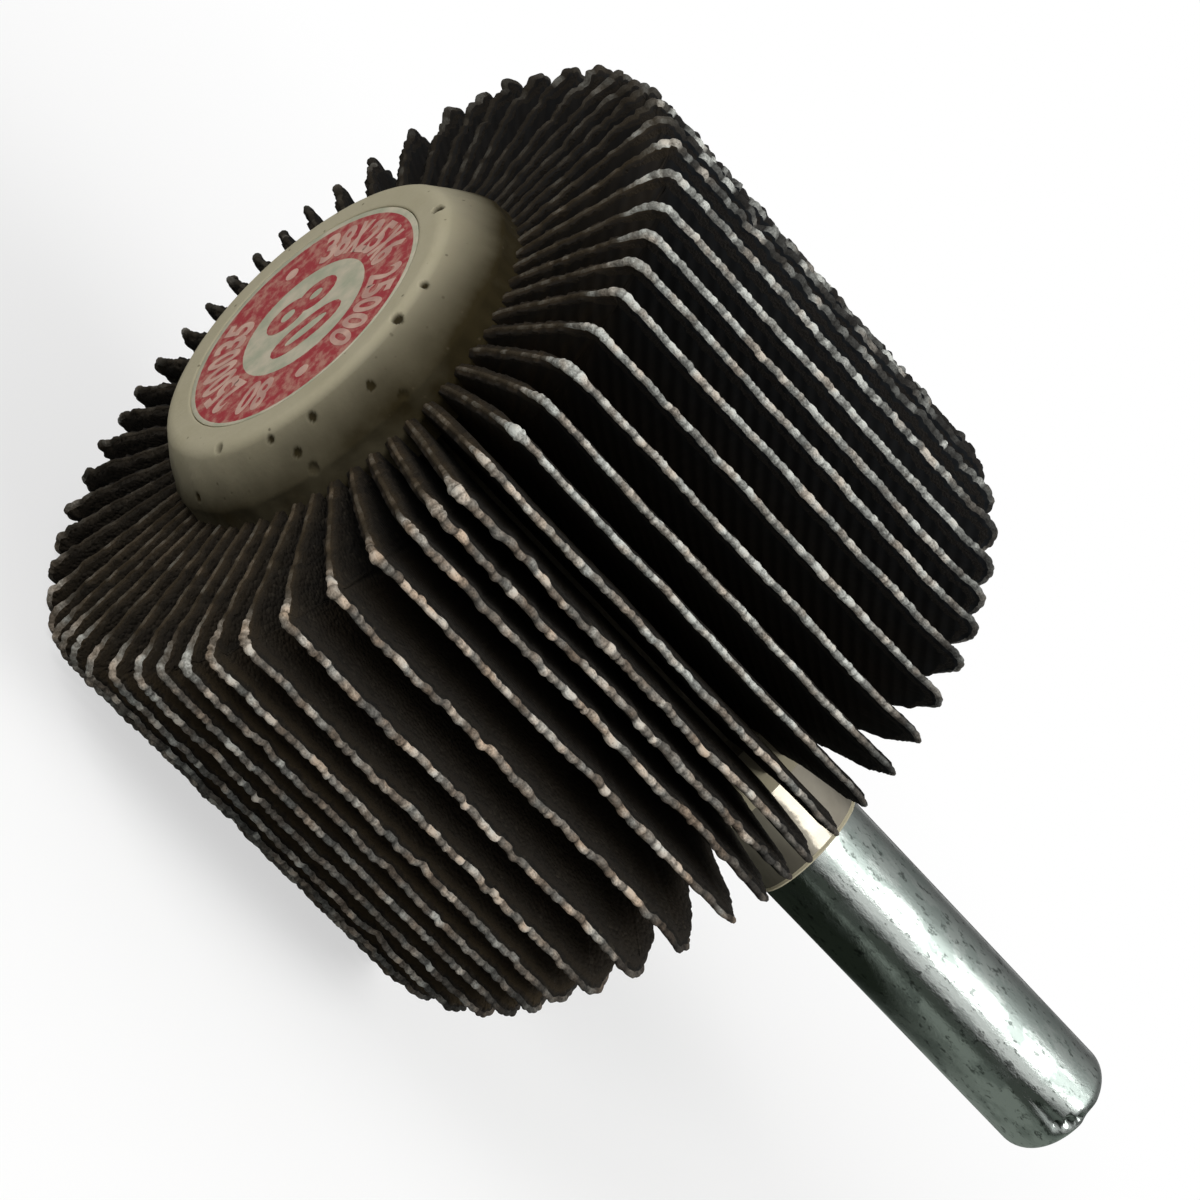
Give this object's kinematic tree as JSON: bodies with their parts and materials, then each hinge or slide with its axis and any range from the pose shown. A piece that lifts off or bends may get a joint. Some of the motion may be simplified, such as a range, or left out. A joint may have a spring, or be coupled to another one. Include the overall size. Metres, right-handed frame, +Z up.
{
  "type": "flap wheel",
  "caption": "Spindle-mounted flap wheel: strips of abrasive cloth set on edge round a cast resin hub on a straight steel pin.",
  "frame": {"origin": "under the middle of the part, on the surface it lies on: halfway along the pin's axis, at the height of the two lowest strip tips", "axes": "+Y along the axis from the label's face to the pin's free end, +Z up as the wheel lies on its side, +X across"},
  "size_m": [0.0388, 0.0608, 0.0388],
  "materials": {
    "cast_resin": "cast, satin, with small air pits",
    "plated_steel": "bright zinc plate",
    "printed_paper": "printed, satin",
    "abrasive_cloth": "coated cloth, grit 80"
  },
  "bodies": {
    "root": {"hub": "cast_resin", "shank": "plated_steel", "label": "printed_paper", "flap_01": "abrasive_cloth", "flap_02": "abrasive_cloth", "flap_03": "abrasive_cloth", "flap_04": "abrasive_cloth", "flap_05": "abrasive_cloth", "flap_06": "abrasive_cloth", "flap_07": "abrasive_cloth", "flap_08": "abrasive_cloth", "flap_09": "abrasive_cloth", "flap_10": "abrasive_cloth", "flap_11": "abrasive_cloth", "flap_12": "abrasive_cloth", "flap_13": "abrasive_cloth", "flap_14": "abrasive_cloth", "flap_15": "abrasive_cloth", "flap_16": "abrasive_cloth", "flap_17": "abrasive_cloth", "flap_18": "abrasive_cloth", "flap_19": "abrasive_cloth", "flap_20": "abrasive_cloth", "flap_21": "abrasive_cloth", "flap_22": "abrasive_cloth", "flap_23": "abrasive_cloth", "flap_24": "abrasive_cloth", "flap_25": "abrasive_cloth", "flap_26": "abrasive_cloth", "flap_27": "abrasive_cloth", "flap_28": "abrasive_cloth", "flap_29": "abrasive_cloth", "flap_30": "abrasive_cloth", "flap_31": "abrasive_cloth", "flap_32": "abrasive_cloth", "flap_33": "abrasive_cloth", "flap_34": "abrasive_cloth", "flap_35": "abrasive_cloth", "flap_36": "abrasive_cloth", "flap_37": "abrasive_cloth", "flap_38": "abrasive_cloth", "flap_39": "abrasive_cloth", "flap_40": "abrasive_cloth", "flap_41": "abrasive_cloth", "flap_42": "abrasive_cloth", "flap_43": "abrasive_cloth", "flap_44": "abrasive_cloth", "flap_45": "abrasive_cloth", "flap_46": "abrasive_cloth", "flap_47": "abrasive_cloth", "flap_48": "abrasive_cloth", "flap_49": "abrasive_cloth", "flap_50": "abrasive_cloth", "flap_51": "abrasive_cloth", "flap_52": "abrasive_cloth", "flap_53": "abrasive_cloth", "flap_54": "abrasive_cloth", "flap_55": "abrasive_cloth", "flap_56": "abrasive_cloth", "flap_57": "abrasive_cloth"}
  },
  "joints": []
}
